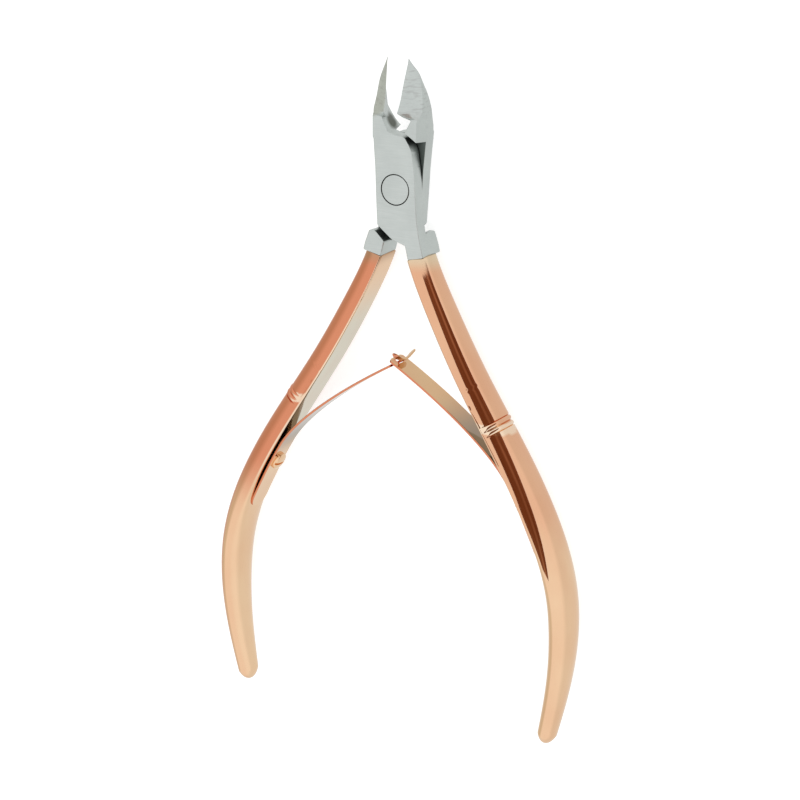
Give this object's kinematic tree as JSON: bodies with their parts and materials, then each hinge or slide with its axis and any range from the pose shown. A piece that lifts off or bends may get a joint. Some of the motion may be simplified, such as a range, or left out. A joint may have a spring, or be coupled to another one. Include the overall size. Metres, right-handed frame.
{
  "type": "cuticle nipper",
  "caption": "Lap-jointed hand nipper with two short bevelled cutting jaws, curved plated handles and a hooked pair of leaf springs that holds it open.",
  "frame": {"origin": "centre of the bounding box in X and Y, on the surface the tool lies on", "axes": "+Y from the handle ends to the jaw tips, +X to the right with the front face up, +Z along the rivet, out of the front face"},
  "size_m": [0.0616, 0.1036, 0.0076],
  "materials": {
    "ground_steel": "satin ground stainless steel at the head; rose gold plated and polished below it",
    "rose_gold_plate": "mirror polished rose gold plate"
  },
  "bodies": {
    "front_lever": {"front_lever": "ground_steel", "pivot_rivet": "ground_steel", "front_spring_screw": "rose_gold_plate"},
    "rear_lever": {"rear_lever": "ground_steel", "rear_spring_screw": "rose_gold_plate"},
    "front_spring": {"front_spring_leaf": "rose_gold_plate"},
    "rear_spring": {"rear_spring_leaf": "rose_gold_plate"}
  },
  "joints": [
    {"name": "lever_pivot", "type": "hinge", "parent": "front_lever", "child": "rear_lever", "pos_m": [0, 0.03193, 0.00343], "axis": [0, 0, 1], "range_deg": [-3, 9.9], "stiffness_Nm_per_rad": 1},
    {"name": "front_spring_flex", "type": "hinge", "parent": "front_lever", "child": "front_spring", "pos_m": [0.01972, -0.01113, 0.00343], "axis": [0, 0, 1], "range_deg": [-8, 3], "deforming": ["front_spring_leaf"]},
    {"name": "rear_spring_flex", "type": "hinge", "parent": "rear_lever", "child": "rear_spring", "pos_m": [-0.01972, -0.01113, 0.00343], "axis": [0, 0, 1], "range_deg": [-3, 8], "deforming": ["rear_spring_leaf"]}
  ],
  "couplings": [
    {"joint": "front_spring_flex", "follows": "lever_pivot", "ratio": -0.745},
    {"joint": "rear_spring_flex", "follows": "lever_pivot", "ratio": 0.745}
  ]
}
